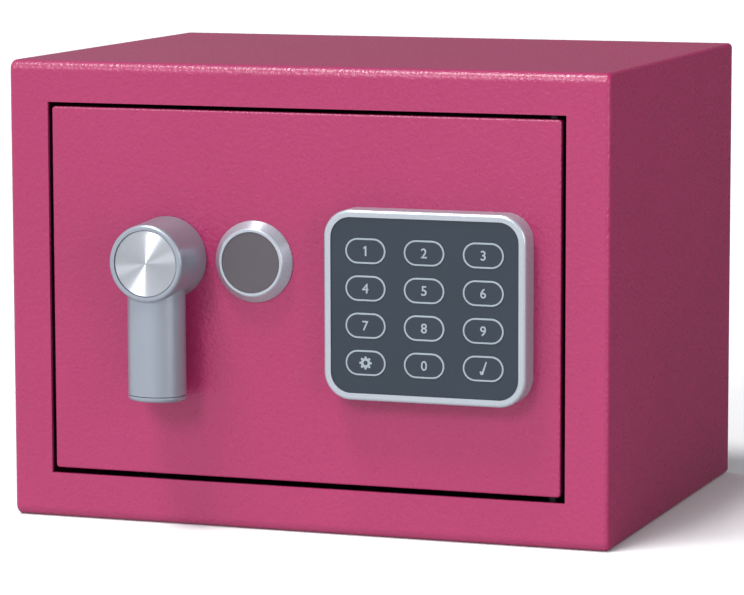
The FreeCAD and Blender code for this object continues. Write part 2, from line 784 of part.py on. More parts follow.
def door_plate():
    def draw(sketch):
        rectangle(sketch, (door_left, door_right), (door_base, door_top))
        circle(sketch, D.handle_x, D.handle_z, D.bearing_r)
        circle(sketch, D.lock_x, D.lock_z, D.barrel_hole_r)
        circle(sketch, D.cable_x, D.cable_z_top, D.cable_hole_r)
        for x, z in post_places:
            circle(sketch, x, z, D.screw_hole_r)

    body = plate("door_plate", "Y", door_front, door_back, draw)
    edges = (door_left, door_right)

    def corner(edge):
        return edge_runs(edge, "Y") and any(edge_at(edge, "X", x) for x in edges)

    round_edges(body, "door_corners", D.door_corner_r, corner)

    def outline(edge):
        bounds = edge.BoundBox
        long_edge = max(bounds.XLength, bounds.ZLength) > 100
        at_side = bounds.XMin < door_left.value + 3 or bounds.XMax > door_right.value - 3
        return edge_at(edge, "Y", door_front) and (long_edge or at_side)

    round_edges(body, "door_front_edge", D.door_edge_r, outline)
    return body


def hinge_tabs():
    tabs = []
    xs = (hinge_x - D.tab_half, hinge_x + D.tab_half)
    rear = deep(D.tab_back)
    ends = {
        "upper": (door_top - D.tab_in - D.tab_h, door_top - D.tab_in),
        "lower": (door_base + D.tab_in, door_base + D.tab_in + D.tab_h),
    }
    for name, zs in ends.items():
        block = box(f"tab_{name}", xs, (door_back, rear), zs)
        block = rounded(
            f"tab_{name}_rounded",
            block,
            (D.tab_edge_r, lambda e: edge_runs(e, "Z") and edge_at(e, "Y", rear)),
        )
        bore = rod(f"tab_{name}_bore", "Z", D.hinge_pin_r, zs, (hinge_x, hinge_y))
        tabs.append(cut(f"tab_{name}_bored", block, bore))
    return group("hinge_tabs", *tabs)


def hinge_pins():
    ends = {
        "upper": (door_top - D.pin_grip, door_top + D.pin_reach),
        "lower": (door_base - D.pin_reach, door_base + D.pin_grip),
    }
    at = (hinge_x, hinge_y)
    pins = [rod(f"pin_{name}", "Z", D.hinge_pin_r, span, at) for name, span in ends.items()]
    return group("hinge_pins", *pins)


chassis_xs = (D.chassis_left, D.chassis_right)
chassis_zs = (D.chassis_base, D.chassis_top)
screw_places = [
    (x, z)
    for x in (D.chassis_left + D.screw_in, D.chassis_right - D.screw_in)
    for z in (D.chassis_base + D.screw_in, D.chassis_top - D.screw_in)
]


def shrunk(span, by):
    return (span[0] + by, span[1] - by)


def door_chassis():
    """A folded box welded behind the door plate, with a lip for the rear cover."""
    outer = box("chassis_outer", chassis_xs, (door_back, deep(D.chassis_back)), chassis_zs)
    outer = rounded("chassis_rounded", outer, (D.cover_corner_r, lambda e: edge_runs(e, "Y")))
    hollow = box(
        "chassis_hollow",
        shrunk(chassis_xs, D.chassis_wall),
        (door_back, deep(D.chassis_back - D.chassis_wall)),
        shrunk(chassis_zs, D.chassis_wall),
    )
    window = box(
        "chassis_window",
        shrunk(chassis_xs, D.chassis_lip),
        (door_back, deep(D.chassis_back)),
        shrunk(chassis_zs, D.chassis_lip),
    )
    left_wall = (D.chassis_left, D.chassis_left + D.chassis_wall)
    bolt_holes = [
        rod(f"chassis_bolt_{i}", "X", D.bolt_r + D.slide_gap, left_wall, (bolt_y, z))
        for i, z in enumerate(bolt_heights)
    ]
    lip = (deep(D.chassis_back - D.chassis_wall), deep(D.chassis_back))
    screw_holes = [
        rod(f"chassis_screw_{i}", "Y", D.screw_r, lip, place_xz)
        for i, place_xz in enumerate(screw_places)
    ]
    return cut("door_chassis", outer, hollow, window, *bolt_holes, *screw_holes)


lid_xs = (D.tray_left - D.lid_in, D.tray_right + D.lid_in)
lid_zs = (D.tray_base - D.lid_in, D.tray_top + D.lid_in)


cover_back = D.chassis_back + D.cover_thick


def rear_cover():
    def draw(sketch):
        rectangle(sketch, chassis_xs, chassis_zs)
        rectangle(sketch, shrunk(lid_xs, -D.lid_gap), shrunk(lid_zs, -D.lid_gap))
        circle(sketch, D.reset_x, D.reset_z, D.reset_r + D.slide_gap)
        for x, z in screw_places:
            circle(sketch, x, z, D.screw_hole_r)

    body = plate("rear_cover", "Y", deep(D.chassis_back), deep(cover_back), draw)

    def corner(edge):
        return edge_runs(edge, "Y") and any(edge_at(edge, "X", x) for x in chassis_xs)

    round_edges(body, "rear_cover_corners", D.cover_corner_r, corner)
    return body


def screw(name, at, shank_r, shank_span, head_r, head_span):
    """A screw along Y: a shank and a head."""
    shank = rod(f"{name}_shank", "Y", shank_r, shank_span, at)
    head = rod(f"{name}_head", "Y", head_r, head_span, at)
    return fuse(name, shank, head)


def cover_screws():
    shank = (deep(D.chassis_back - D.screw_grip), deep(cover_back))
    head = (deep(cover_back), deep(cover_back + D.screw_head_h))
    screws = [
        screw(f"cover_screw_{i}", at, D.screw_r, shank, D.screw_head_r, head)
        for i, at in enumerate(screw_places)
    ]
    return group("rear_cover_screws", *screws)


# ---------------------------------------------------------------- bolts and carriage

bolt_screw_span = (deep(D.carriage_front - D.bolt_screw_grip), deep(D.carriage_front))


def locking_bolts():
    bolts = []
    seat_xs = (D.carriage_left, D.bolt_end)
    seat_ys = (deep(D.carriage_front), deep(D.bolt_deep + D.bolt_r))
    for i, z in enumerate(bolt_heights):
        bar = rod(f"bolt_bar_{i}", "X", D.bolt_r, (D.bolt_tip, D.bolt_end), (bolt_y, z))
        bar = bevelled_tip(f"bolt_tip_{i}", bar)
        seat = box(f"bolt_seat_{i}", seat_xs, seat_ys, (z - D.bolt_r, z + D.bolt_r))
        at = (D.bolt_screw_x, z)
        thread = rod(f"bolt_thread_{i}", "Y", D.bolt_screw_r, bolt_screw_span, at)
        bolts.append(cut(f"bolt_whole_{i}", bar, seat, thread))
    return group("locking_bolts", *bolts)


def bevelled_tip(name, bar):
    doc.recompute()
    obj = doc.addObject("Part::Chamfer", name)
    obj.Base = bar
    bevel = D.bolt_tip_bevel.value
    tips = [i for i, e in enumerate(bar.Shape.Edges, start=1) if edge_at(e, "X", D.bolt_tip)]
    obj.Edges = [(i, bevel, bevel) for i in tips]
    return obj


def bolt_carriage():
    """The sheet that ties the bolts together; a slot takes the cam's pin, two take the studs."""
    outline = [
        (D.carriage_left, D.carriage_base),
        (D.carriage_right, D.carriage_base),
        (D.carriage_right, D.tongue_base),
        (D.tongue_end, D.tongue_base),
        (D.tongue_end, D.tongue_top),
        (D.carriage_right, D.tongue_top),
        (D.carriage_right, D.arm_base_top),
        (D.carriage_waist, D.arm_base_top),
        (D.carriage_waist, D.arm_top_base),
        (D.carriage_right, D.arm_top_base),
        (D.carriage_right, D.carriage_top),
        (D.carriage_left, D.carriage_top),
    ]
    slot_x = D.handle_x + pin_offset
    pin_low = D.handle_z - D.cam_reach
    pin_high = D.handle_z - pin_offset

    def draw(sketch):
        polygon(sketch, outline)
        slot(sketch, (slot_x, pin_low), (slot_x, pin_high), D.cam_pin_r + D.pin_slot_gap)
        for z in bolt_heights:
            slot(sketch, (D.stud_x, z), (D.stud_x + D.throw, z), D.stud_r + D.slide_gap)
            circle(sketch, D.bolt_screw_x, z, D.bolt_screw_r)

    return plate("bolt_carriage", "Y", deep(D.carriage_front), deep(carriage_back), draw)


def bolt_screws():
    shank = (bolt_screw_span[0], deep(carriage_back))
    head = (deep(carriage_back), deep(carriage_back + D.bolt_screw_head_h))
    screws = [
        screw(
            f"bolt_screw_{i}", (D.bolt_screw_x, z),
            D.bolt_screw_r, shank, D.bolt_screw_head_r, head,
        )
        for i, z in enumerate(bolt_heights)
    ]
    return group("bolt_screws", *screws)


def guide_studs():
    studs = []
    collar_span = (door_back, deep(D.carriage_front - D.face_gap))
    head_at = carriage_back + D.face_gap
    head_span = (deep(head_at), deep(head_at + D.stud_head_h))
    for i, z in enumerate(bolt_heights):
        at = (D.stud_x, z)
        collar = rod(f"stud_collar_{i}", "Y", D.stud_collar_r, collar_span, at)
        shoulder = rod(f"stud_{i}", "Y", D.stud_r, (door_back, deep(head_at)), at)
        head = rod(f"stud_head_{i}", "Y", D.stud_head_r, head_span, at)
        studs.append(fuse(f"stud_whole_{i}", collar, shoulder, head))
    return group("guide_studs", *studs)


# ---------------------------------------------------------------- handle

def handle_lever():
    """Hub and bar, one casting: a round hub on the handle axis and an oval bar hanging from it."""
    hub = turned(
        "hub", D.handle_x, D.handle_z,
        [
            (0, proud(D.spindle_in)),
            (D.spindle_r, proud(D.spindle_in)),
            (D.spindle_r, proud(D.hub_gap)),
            (D.hub_r, proud(D.hub_gap)),
            (D.hub_front_r, proud(D.hub_proud)),
            (D.face_seat_r, proud(D.hub_proud)),
            (D.face_seat_r, proud(D.hub_proud - D.face_seat)),
            (0, proud(D.hub_proud - D.face_seat)),
        ],
    )

    def rim(edge):
        outer = edge.BoundBox.XLength > 2 * D.hub_front_r.value - 0.1
        return outer and edge_at(edge, "Y", proud(D.hub_proud))

    round_edges(hub, "hub_edge", D.hub_edge_r, rim)

    seam = D.bar_base + D.cap_thick + D.cap_seam
    bar = bar_section("bar", seam, D.handle_z - D.bar_root)
    plug_room = bar_section("bar_plug_room", seam, seam + D.cap_plug, D.cap_wall)
    return fuse("handle_lever", hub, cut("bar_whole", bar, plug_room))


def bar_section(name, low, high, inset=0):
    """A length of the bar's oval section, or of its inside."""
    body = sketched(name)
    outline = sketch_on(body, f"{name}_outline", "Z", low)
    half_sizes = (D.bar_half_w - inset, D.bar_half_d - inset)
    ellipse(outline, D.handle_x, proud(D.bar_proud), *half_sizes)
    pad(body, outline, Size.of(high) - low)
    return body


def handle_end_cap():
    top = D.bar_base + D.cap_thick
    body = bar_section("end_cap", D.bar_base, top)
    round_edges(body, "end_cap_edge", D.cap_edge_r, lambda e: edge_at(e, "Z", D.bar_base))
    plug = bar_section("end_cap_plug", top, top + D.cap_seam + D.cap_plug, D.cap_wall)
    return fuse("handle_end_cap", body, plug)


def handle_face():
    span = (proud(D.hub_proud - D.face_seat + D.face_thick), proud(D.hub_proud - D.face_seat))
    return rod("handle_face", "Y", D.face_r, span, (D.handle_x, D.handle_z))


def handle_spindle():
    return turned(
        "handle_spindle", D.handle_x, D.handle_z,
        [
            (0, proud(D.spindle_in)),
            (D.spindle_r, proud(D.spindle_in)),
            (D.spindle_r, deep(D.spindle_step)),
            (D.spindle_end_r, deep(D.spindle_step)),
            (D.spindle_end_r, deep(D.spindle_end)),
            (0, deep(D.spindle_end)),
        ],
    )


def spindle_bearing():
    bore = D.spindle_r + D.running_gap
    return turned(
        "spindle_bearing", D.handle_x, D.handle_z,
        [
            (bore, door_front),
            (D.bearing_r, door_front),
            (D.bearing_r, door_back),
            (D.bearing_flange_r, door_back),
            (D.bearing_flange_r, door_back + D.bearing_flange),
            (D.bearing_r, door_back + D.bearing_flange),
            (D.bearing_r, deep(D.bearing_end)),
            (bore, deep(D.bearing_end)),
        ],
    )


def handle_cam():
    """A disc with an arm, and the pin that drives the carriage."""
    pin_x = D.handle_x + pin_offset
    pin_z = D.handle_z - pin_offset
    cam_front = deep(D.spindle_step)
    cam_back = deep(D.spindle_step + D.cam_thick)

    def draw_arm(sketch):
        slot(sketch, (D.handle_x, D.handle_z), (pin_x, pin_z), D.cam_arm_r)

    arm = plate("cam_arm", "Y", cam_front, cam_back, draw_arm)
    boss = rod("cam_boss", "Y", D.cam_boss_r, (cam_front, cam_back), (D.handle_x, D.handle_z))
    bore = rod("cam_bore", "Y", D.spindle_end_r, (cam_front, cam_back), (D.handle_x, D.handle_z))
    pin_hole = rod("cam_pin_hole", "Y", D.cam_pin_r, (cam_front, cam_back), (pin_x, pin_z))
    pin = rod("cam_pin", "Y", D.cam_pin_r, (cam_front, deep(D.cam_pin_end)), (pin_x, pin_z))
    return group("handle_cam", cut("cam_whole", fuse("cam_solid", arm, boss), bore, pin_hole), pin)


def spindle_nut():
    low = D.spindle_step + D.cam_thick

    def draw(sketch):
        hexagon(sketch, D.handle_x, D.handle_z, D.nut_r)
        circle(sketch, D.handle_x, D.handle_z, D.spindle_end_r)

    return plate("spindle_nut", "Y", deep(low), deep(low + D.nut_thick), draw)


# ---------------------------------------------------------------- solenoid

def solenoid_frame():
    """A bent bracket on the door plate that holds the coil between its two legs."""
    xs = (D.sol_x - D.sol_half, D.sol_x + D.sol_half)
    rear = deep(D.sol_back)
    base_zs = (D.sol_base, D.sol_base + D.sol_sheet)
    top_zs = (D.sol_top - D.sol_sheet, D.sol_top)
    base = box("sol_base_leg", xs, (door_back, rear), base_zs)
    web = box("sol_web", xs, (rear - D.sol_sheet, rear), (D.sol_base, D.sol_top))
    top = box("sol_top_leg", xs, (deep(D.sol_front), rear), top_zs)
    hole = rod("sol_hole", "Z", D.coil_bore_r, top_zs, (D.sol_x, deep(D.sol_deep)))
    return cut("solenoid_frame", fuse("sol_bent", base, web, top), hole)


def solenoid_coil():
    span = (D.sol_base + D.sol_sheet, D.sol_top - D.sol_sheet)
    at = (D.sol_x, deep(D.sol_deep))
    coil = rod("coil_outer", "Z", D.coil_r, span, at)
    return cut("solenoid_coil", coil, rod("coil_bore", "Z", D.coil_bore_r, span, at))


def solenoid_plunger():
    return turned_upright(
        "solenoid_plunger", D.sol_x, deep(D.sol_deep),
        [
            (0, D.plunger_base),
            (D.plunger_r, D.plunger_base),
            (D.plunger_r, D.clip_base),
            (D.clip_r, D.clip_base),
            (D.clip_r, D.clip_base + D.clip_thick),
            (D.plunger_r, D.clip_base + D.clip_thick),
            (D.plunger_r, D.plunger_top - 0.8),
            (D.plunger_r - 0.8, D.plunger_top),
            (0, D.plunger_top),
        ],
    )


def coil_spring(name, radius, length, placement):
    """A helical spring; length is measured over its wire."""
    wire_r = D.wire_r.value
    rise = length - 2 * wire_r
    helix = Part.makeLongHelix(rise / D.spring_turns.value, rise, radius)
    wire_end = Part.Wire(Part.makeCircle(wire_r, Vector(radius, 0, 0), Vector(0, 1, 0)))
    solid = Part.Wire(helix.Edges).makePipeShell([wire_end], True, True)
    obj = doc.addObject("Part::Feature", name)
    obj.Shape = solid
    obj.Placement = placement.multiply(Placement(Vector(0, 0, wire_r), Rotation()))
    return obj


def plunger_spring():
    gap = D.spring_gap.value
    length = D.clip_base.value - D.sol_top.value - 2 * gap
    at = Vector(D.sol_x.value, deep(D.sol_deep).value, D.sol_top.value + gap)
    return coil_spring("plunger_spring", D.spring_r.value, length, Placement(at, Rotation()))


# ---------------------------------------------------------------- override lock

def override_barrel():
    bore = D.plug_r + D.running_gap
    return turned(
        "override_barrel", D.lock_x, D.lock_z,
        [
            (bore, proud(D.barrel_head)),
            (D.barrel_head_r, proud(D.barrel_head)),
            (D.barrel_head_r, door_front),
            (D.barrel_r, door_front),
            (D.barrel_r, deep(D.barrel_end)),
            (bore, deep(D.barrel_end)),
        ],
    )


def override_nut():
    def draw(sketch):
        hexagon(sketch, D.lock_x, D.lock_z, D.lock_nut_r)
        circle(sketch, D.lock_x, D.lock_z, D.barrel_r)

    return plate("override_nut", "Y", door_back, door_back + D.lock_nut_thick, draw)


def override_plug():
    """The turning plug, with a round keyway in its face."""
    face = proud(D.barrel_head)
    behind = deep(D.barrel_end + D.face_gap)
    return turned(
        "override_plug", D.lock_x, D.lock_z,
        [
            (0, face),
            (D.keyway_in_r, face),
            (D.keyway_in_r, face + D.keyway_deep),
            (D.keyway_out_r, face + D.keyway_deep),
            (D.keyway_out_r, face),
            (D.plug_r, face),
            (D.plug_r, behind),
            (D.plug_spacer_r, behind),
            (D.plug_spacer_r, deep(D.lock_cam_front)),
            (D.plug_tail_r, deep(D.lock_cam_front)),
            (D.plug_tail_r, deep(D.plug_tail_end)),
            (0, deep(D.plug_tail_end)),
        ],
    )


def override_cam():
    """It points up and to the right at rest, and over the plunger after a quarter turn."""
    rest = math.radians(30)
    nose = (
        D.lock_x + D.lock_cam_reach * math.cos(rest),
        D.lock_z + D.lock_cam_reach * math.sin(rest),
    )

    def draw(sketch):
        slot(sketch, (D.lock_x, D.lock_z), nose, D.lock_cam_r)
        circle(sketch, D.lock_x, D.lock_z, D.plug_tail_r)

    cam_front = deep(D.lock_cam_front)
    return plate("override_cam", "Y", cam_front, cam_front + D.lock_cam_thick, draw)


def cap_ring():
    """The round cap over the override lock: a bevelled ring with a seat for the badge."""
    seat = D.cap_proud - D.cap_seat
    return turned(
        "cap_ring", D.lock_x, D.lock_z,
        [
            (0, proud(seat)),
            (D.cap_seat_r, proud(seat)),
            (D.cap_seat_r, proud(D.cap_proud)),
            (D.cap_rim_r - 0.4, proud(D.cap_proud)),
            (D.cap_rim_r, proud(D.cap_proud - 0.25)),
            (D.cap_r, proud(D.cap_foot - D.door_in)),
            (D.cap_r, door_front),
            (D.cap_cavity_r, door_front),
            (D.cap_cavity_r, proud(seat - D.cap_web)),
            (0, proud(seat - D.cap_web)),
        ],
    )


def cap_badge():
    seat = D.cap_proud - D.cap_seat
    span = (proud(seat + D.badge_thick), proud(seat))
    return rod("cap_badge", "Y", D.badge_r, span, (D.lock_x, D.lock_z))


# ---------------------------------------------------------------- keypad

pad_xs = (D.pad_left, D.pad_left + D.pad_w)
pad_zs = (D.pad_base, D.pad_base + D.pad_h)
board_front = D.pad_floor + D.board_thick


def keypad_housing():
    """A shallow tub, open to the front, with four posts for the screws from behind."""
    face = proud(D.pad_proud)
    outer = box("pad_outer", pad_xs, (face, door_front), pad_zs)
    outer = rounded("pad_corners", outer, (D.pad_corner_r, lambda e: edge_runs(e, "Y")))
    outer = rounded("pad_edge", outer, (D.pad_edge_r, lambda e: edge_at(e, "Y", face)))
    room_xs, room_zs = shrunk(pad_xs, D.pad_rim), shrunk(pad_zs, D.pad_rim)
    room_r = D.pad_corner_r - D.pad_rim
    room = box("pad_room", room_xs, (face, proud(D.pad_floor)), room_zs)
    room = rounded("pad_room_corners", room, (room_r, lambda e: edge_runs(e, "Y")))
    posts = [
        rod(f"pad_post_{i}", "Y", D.post_r, (proud(D.post_proud), proud(D.pad_floor)), at)
        for i, at in enumerate(post_places)
    ]
    pilots = [
        rod(f"pad_pilot_{i}", "Y", D.screw_r, (proud(D.post_screw), door_front), at)
        for i, at in enumerate(post_places)
    ]
    cable_span = (proud(D.pad_floor), door_front)
    cable_at = (D.cable_x, D.cable_z_top)
    cable_hole = rod("pad_cable_hole", "Y", D.cable_r + D.cable_gap, cable_span, cable_at)
    tub = fuse("pad_tub", cut("pad_hollow", outer, room), *posts)
    return cut("keypad_housing", tub, cable_hole, *pilots)


key_places = {}
for number, label in enumerate(("1", "2", "3", "4", "5", "6", "7", "8", "9", "set", "0", "enter")):
    row, column = divmod(number, 3)
    key_places[f"key_{label}"] = (
        D.key_x + D.key_pitch_x * column,
        D.key_z - D.key_pitch_z * row,
    )


def keypad_faceplate():
    inset = D.pad_rim + D.plate_gap
    xs, zs = shrunk(pad_xs, inset), shrunk(pad_zs, inset)

    def draw(sketch):
        rectangle(sketch, xs, zs)
        for x, z in key_places.values():
            ends = ((x - D.key_half_run, z), (x + D.key_half_run, z))
            slot(sketch, *ends, D.key_r + D.key_gap)

    face = proud(D.plate_front)
    body = plate("keypad_faceplate", "Y", face, face + D.plate_thick, draw)

    def corner(edge):
        return edge_runs(edge, "Y") and any(edge_at(edge, "X", x) for x in xs)

    round_edges(body, "faceplate_corners", D.pad_corner_r - inset, corner)
    return body


def key(name, x, z):
    def draw(sketch):
        slot(sketch, (x - D.key_half_run, z), (x + D.key_half_run, z), D.key_r)

    face = proud(D.key_front)
    body = plate(name, "Y", face, face + D.key_thick, draw)
    round_edges(body, f"{name}_edge", D.key_edge_r, lambda e: edge_at(e, "Y", face))
    return body


def pad_board_block(name, near, far):
    xs = (D.pad_board_left, D.pad_board_left + D.pad_board_w)
    zs = (D.pad_board_base, D.pad_board_base + D.pad_board_h)
    return box(name, xs, (proud(far), proud(near)), zs)


def keypad_mat():
    return pad_board_block("keypad_mat", board_front, board_front + D.board_mat)


def keypad_board():
    return pad_board_block("keypad_board", D.pad_floor, board_front)


def keypad_screws():
    shank = (proud(D.post_screw), door_back)
    head = (door_back, door_back + D.screw_head_h)
    screws = [
        screw(f"pad_screw_{i}", at, D.screw_r, shank, D.screw_head_r, head)
        for i, at in enumerate(post_places)
    ]
    return group("keypad_screws", *screws)


def bent_path(points):
    """Straight runs joined by arcs as large as the two runs beside each corner allow."""
    edges = []
    start = points[0]
    for before, corner, after in zip(points, points[1:], points[2:]):
        run_in, run_out = corner - before, after - corner
        turn = run_in.getAngle(run_out)
        radius = 0.45 * min(run_in.Length, run_out.Length) / math.tan(turn / 2)
        back_off = radius * math.tan(turn / 2)
        enter = corner - run_in.normalize() * back_off
        leave = corner + run_out.normalize() * back_off
        inward = (run_out - run_in).normalize()
        middle = corner + inward * (radius / math.cos(turn / 2) - radius)
        edges.append(Part.LineSegment(start, enter).toShape())
        edges.append(Part.Arc(enter, middle, leave).toShape())
        start = leave
        print(f"cable bend radius {radius:.1f} mm")
    edges.append(Part.LineSegment(start, points[-1]).toShape())
    return Part.Wire(edges)


def keypad_cable():
    """From the keypad board, through the door, and down to the control board."""
    x = D.cable_x.value
    top, base = D.cable_z_top.value, D.cable_z_base.value
    rear = deep(D.cable_deep).value
    path = bent_path(
        [
            Vector(x, proud(D.pad_floor).value, top),
            Vector(x, rear, top),
            Vector(x, rear, base),
            Vector(x, deep(D.board_deep + D.board_thick).value, base),
        ]
    )
    radius = D.cable_r.value
    section = Part.Wire(Part.makeCircle(radius, path.Vertexes[0].Point, Vector(0, 1, 0)))
    solid = path.makePipeShell([section], True, False)
    expected = math.pi * radius**2 * path.Length
    if abs(solid.Volume / expected - 1) > 0.02:
        raise RuntimeError("the cable's volume is wrong")
    obj = doc.addObject("Part::Feature", "keypad_cable")
    obj.Shape = solid
    return obj


# ---------------------------------------------------------------- electronics in the door

board_xs = (D.board_left, D.board_left + D.board_w)
board_zs = (D.board_base, D.board_base + D.board_h)
board_rear = D.board_deep + D.board_thick
standoff_places = [
    (x, z) for x in shrunk(board_xs, D.standoff_in) for z in shrunk(board_zs, D.standoff_in)
]


def on_board(name, x, z, half_x, half_z, height):
    """A component standing on the control board's rear face."""
    ys = (deep(board_rear), deep(board_rear + height))
    return box(name, (x - half_x, x + half_x), ys, (z - half_z, z + half_z))


def control_board():
    board = box("board_sheet", board_xs, (deep(D.board_deep), deep(board_rear)), board_zs)
    switch = on_board("board_switch", D.reset_x, D.reset_z, 3, 3, D.switch_h)
    chip = on_board("board_chip", D.cable_x, D.buzzer_z - 6, 6, 4, 1.6)
    relay = on_board("board_relay", D.board_left + 8, D.board_base + 26, 4, 5, 6)
    return group("control_board", board, switch, chip, relay)


def board_standoffs():
    posts = [
        rod(f"standoff_{i}", "Y", D.standoff_r, (door_back, deep(D.board_deep)), at)
        for i, at in enumerate(standoff_places)
    ]
    return group("board_standoffs", *posts)


def buzzer():
    span = (deep(board_rear), deep(board_rear + D.buzzer_h))
    return rod("buzzer", "Y", D.buzzer_r, span, (D.buzzer_x, D.buzzer_z))


def reset_button():
    return turned(
        "reset_button", D.reset_x, D.reset_z,
        [
            (0, deep(D.reset_stem_front)),
            (D.reset_stem_r, deep(D.reset_stem_front)),
            (D.reset_stem_r, deep(D.reset_flange_front)),
            (D.reset_flange_r, deep(D.reset_flange_front)),
            (D.reset_flange_r, deep(D.reset_flange_front + D.reset_flange)),
            (D.reset_r, deep(D.reset_flange_front + D.reset_flange)),
            (D.reset_r, deep(D.reset_end - 0.6)),
            (D.reset_r - 0.6, deep(D.reset_end)),
            (0, deep(D.reset_end)),
        ],
    )


# ---------------------------------------------------------------- batteries

tray_xs = (D.tray_left, D.tray_right)
tray_zs = (D.tray_base, D.tray_top)
CELLS = 4


def cell_place(i):
    """Height of a cell, and whether its nub points right."""
    return D.cell_z + D.cell_pitch * i, i % 2 == 0


def battery_tray():
    rear = deep(D.chassis_back)
    wall, reach = D.tray_wall, D.tray_wall + D.tray_flange
    outer_ys = (deep(D.tray_front), rear)
    outer = box("tray_outer", shrunk(tray_xs, -wall), outer_ys, shrunk(tray_zs, -wall))
    flange_ys = (rear - wall, rear)
    flange = box("tray_edge", shrunk(tray_xs, -reach), flange_ys, shrunk(tray_zs, -reach))
    room = box("tray_room", tray_xs, (deep(D.tray_front + wall), rear), tray_zs)
    return cut("battery_tray", fuse("tray_solid", outer, flange), room)


def batteries():
    """Cells side by side, each one turned end for end from its neighbour."""
    cells = []
    y = deep(D.cell_deep)
    for i in range(CELLS):
        z, nub_right = cell_place(i)
        if nub_right:
            shoulder = D.tray_right - D.contact_thick - D.nub_len
            body_span = (shoulder - D.cell_len, shoulder)
            nub_span = (shoulder, shoulder + D.nub_len)
        else:
            shoulder = D.tray_left + D.contact_thick + D.nub_len
            body_span = (shoulder, shoulder + D.cell_len)
            nub_span = (shoulder - D.nub_len, shoulder)
        body = rod(f"cell_{i}", "X", D.cell_r, body_span, (y, z))
        nub = rod(f"cell_nub_{i}", "X", D.nub_r, nub_span, (y, z))
        cells.append(fuse(f"cell_whole_{i}", body, nub))
    return group("batteries", *cells)


def battery_contacts():
    """A flat contact at each nub and a spring at each flat end."""
    pieces = []
    y = deep(D.cell_deep)
    half = D.contact_half
    left = (D.tray_left, D.tray_left + D.contact_thick)
    right = (D.tray_right - D.contact_thick, D.tray_right)
    gap = D.spring_gap.value
    room = right[0].value - left[1].value - D.cell_len.value - D.nub_len.value
    for i in range(CELLS):
        z, nub_right = cell_place(i)
        for name, xs in (("left", left), ("right", right)):
            zs = (z - half, z + half)
            pieces.append(box(f"contact_{name}_{i}", xs, (y - half, y + half), zs))
        start = left[1].value + gap if nub_right else right[0].value - gap
        turn = Rotation(Vector(0, 1, 0), 90 if nub_right else -90)
        at = Placement(Vector(start, y.value, z.value), turn)
        radius = D.contact_spring_r.value
        pieces.append(coil_spring(f"contact_spring_{i}", radius, room - 2 * gap, at))
    return group("battery_contacts", *pieces)


def battery_lid():
    """A flush lid with a finger recess."""

    def draw(sketch):
        rectangle(sketch, lid_xs, lid_zs)

    body = plate("battery_lid", "Y", deep(D.chassis_back), deep(cover_back), draw)
    grip = sketch_on(body, "lid_grip", "Y", deep(cover_back))
    middle = (D.tray_left + D.tray_right) / 2
    height = lid_zs[1] - D.lid_grip_in - D.lid_grip_h
    ends = [(middle + side * D.lid_grip_w / 2, height) for side in (-1, 1)]
    slot(grip, *ends, D.lid_grip_h / 2)
    pocket(body, grip, D.lid_grip_deep, backwards=True)
    return body


# ---------------------------------------------------------------- the whole safe

def build():
    node("case_shell", case_shell())
    node("back_plate", back_plate())
    node("floor_mat", floor_mat())
    node("strike_plate", strike_plate())
    node("hinge_brackets", hinge_brackets())
    node("hinge_bushes", hinge_bushes())

    node("door_plate", door_plate())
    node("door_chassis", door_chassis())
    node("hinge_tabs", hinge_tabs())
    node("hinge_pins", hinge_pins())
    node("door_rear_cover", rear_cover())
    node("rear_cover_screws", cover_screws())
    node("guide_studs", guide_studs())
    node("spindle_bearing", spindle_bearing())
    node("solenoid_frame", solenoid_frame())
    node("solenoid_coil", solenoid_coil())
    node("override_barrel", override_barrel())
    node("override_nut", override_nut())
    node("control_board", control_board())
    node("board_standoffs", board_standoffs())
    node("buzzer", buzzer())
    node("battery_tray", battery_tray())
    node("battery_contacts", battery_contacts())
    node("batteries", batteries())

    node("keypad_housing", keypad_housing())
    node("keypad_faceplate", keypad_faceplate())
    node("keypad_mat", keypad_mat())
    node("keypad_board", keypad_board())
    node("keypad_screws", keypad_screws())
    node("keypad_cable", keypad_cable())
    for name, (x, z) in key_places.items():
        node(name, key(name, x, z))

    node("bolt_carriage", bolt_carriage())
    node("locking_bolts", locking_bolts())
    node("bolt_screws", bolt_screws())

    node("handle_lever", handle_lever())
    node("handle_end_cap", handle_end_cap())
    node("handle_face", handle_face())
    node("handle_spindle", handle_spindle())
    node("handle_cam", handle_cam())
    node("spindle_nut", spindle_nut())

    node("solenoid_plunger", solenoid_plunger())
    node("plunger_spring", plunger_spring())
    node("override_plug", override_plug())
    node("override_cam", override_cam())
    node("cap_ring", cap_ring())
    node("cap_badge", cap_badge())
    node("battery_lid", battery_lid())
    node("reset_button", reset_button())


def check():
    """Stops if any object failed or any sub-part's shape is empty or broken."""
    doc.recompute()
    for obj in doc.Objects:
        bad = [state for state in obj.State if state in ("Invalid", "Error")]
        if bad:
            raise RuntimeError(f"{obj.Name} is {bad}")
    for name, obj in nodes.items():
        shape = obj.Shape
        if shape.isNull() or not shape.isValid() or not shape.Solids or shape.Volume <= 0:
            raise RuntimeError(f"{name} has no good shape")


def write():
    os.makedirs("parts", exist_ok=True)
    for name, obj in nodes.items():
        obj.Shape.exportStep(f"parts/{name}.step")
    print(f"{len(nodes)} sub-parts")


build()
check()
write()
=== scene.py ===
"""Looks for a small electronic safe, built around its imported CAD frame. Metres."""

import bmesh
import bpy
import json
import math
from mathutils import Matrix, Vector, noise


